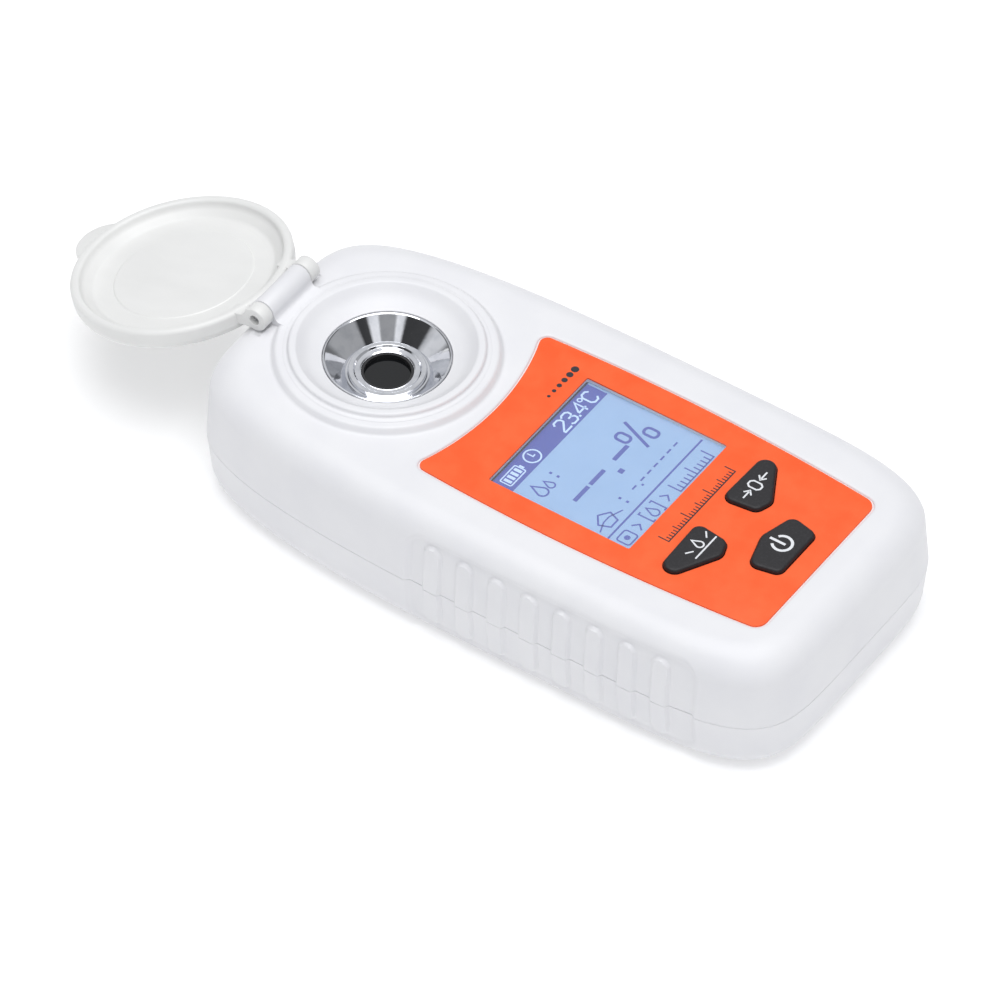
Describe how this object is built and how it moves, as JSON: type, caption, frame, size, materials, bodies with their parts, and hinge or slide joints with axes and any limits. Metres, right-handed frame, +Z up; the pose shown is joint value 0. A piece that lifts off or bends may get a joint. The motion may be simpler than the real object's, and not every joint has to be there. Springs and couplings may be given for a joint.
{
  "type": "digital refractometer",
  "caption": "Pocket digital refractometer: white hand-held case, hinged lid over a chrome sample cup, display and three keys on an orange label.",
  "frame": {"origin": "middle of the flat underside of the case, 60.3 mm from either end and on the middle plane", "axes": "+X across the case to the user's right, +Y along the case from the keys towards the lid hinge, +Z up out of the display"},
  "size_m": [0.0608, 0.1594, 0.03],
  "materials": {
    "case_white": "fine satin moulded ABS, cool white",
    "lid_white": "satin moulded plastic, slightly warm white",
    "label_orange": "printed polycarbonate film, fine matt texture",
    "key_rubber": "dark grey silicone rubber, fine grain, light printed marks",
    "clear_window": "clear acrylic",
    "screen": "backlit graphic display, pale blue with blue segments",
    "diffuser": "white light-spreading acrylic",
    "black_plastic": "matt black moulded plastic",
    "chrome_cup": "polished steel, mirror finish",
    "black_seal": "black silicone rubber",
    "prism_glass": "polished dark optical glass",
    "lens_glass": "clear polished glass",
    "led_epoxy": "clear amber epoxy",
    "board_green": "solder-masked circuit board",
    "chip_black": "moulded chip package",
    "component_metal": "plated metal can and ceramic parts",
    "switch_metal": "stamped steel switch cover",
    "steel": "nickel-plated steel",
    "flex_amber": "amber polyimide film",
    "cell_sleeve": "plain printed cell sleeve with bare metal ends",
    "gasket_grey": "grey silicone cord",
    "probe_brown": "epoxy-dipped bead"
  },
  "bodies": {
    "case": {"case_top": "case_white", "case_bottom": "case_white", "case_seal": "gasket_grey", "case_screws": "steel", "cup_surround": "case_white", "battery_1": "cell_sleeve", "battery_2": "cell_sleeve", "contact_springs": "steel", "contact_plates": "steel", "main_board": "board_green", "board_screws": "steel", "processor_chip": "chip_black", "board_components": "component_metal", "key_switches": "switch_metal", "label_overlay": "label_orange", "lcd_window": "clear_window", "lcd_glass": "screen", "lcd_backlight": "diffuser", "lcd_frame": "black_plastic", "lcd_flex": "flex_amber", "sample_cup": "chrome_cup", "prism_seal": "black_seal", "prism": "prism_glass", "optics_housing": "black_plastic", "optics_screws": "steel", "led_lamp": "led_epoxy", "led_board": "board_green", "collimating_lens": "lens_glass", "line_sensor": "chip_black", "sensor_board": "board_green", "sensor_flex": "flex_amber", "thermistor": "probe_brown", "hinge_pin": "steel"},
    "lid": {"lid": "lid_white"},
    "left_key": {"button_left": "key_rubber", "switch_stem_left": "black_plastic"},
    "right_key": {"button_right": "key_rubber", "switch_stem_right": "black_plastic"},
    "power_key": {"button_power": "key_rubber", "switch_stem_power": "black_plastic"},
    "door": {"battery_door": "case_white"}
  },
  "joints": [
    {"name": "lid_hinge", "type": "hinge", "parent": "case", "child": "lid", "pos_m": [0, 0.0564, 0.02785], "axis": [1, 0, 0], "range_deg": [0, 194]},
    {"name": "left_key_press", "type": "slide", "parent": "case", "child": "left_key", "axis": [0, 0, -1], "range_m": [0, 0.0006], "stiffness_N_per_m": 1200, "springref_m": -0.0003},
    {"name": "right_key_press", "type": "slide", "parent": "case", "child": "right_key", "axis": [0, 0, -1], "range_m": [0, 0.0006], "stiffness_N_per_m": 1200, "springref_m": -0.0003},
    {"name": "power_key_press", "type": "slide", "parent": "case", "child": "power_key", "axis": [0, 0, -1], "range_m": [0, 0.0006], "stiffness_N_per_m": 1200, "springref_m": -0.0003},
    {"name": "door_hinge", "type": "hinge", "parent": "case", "child": "door", "pos_m": [0, -0.00235, 0.00115], "axis": [1, 0, 0], "range_deg": [0, 75]}
  ]
}
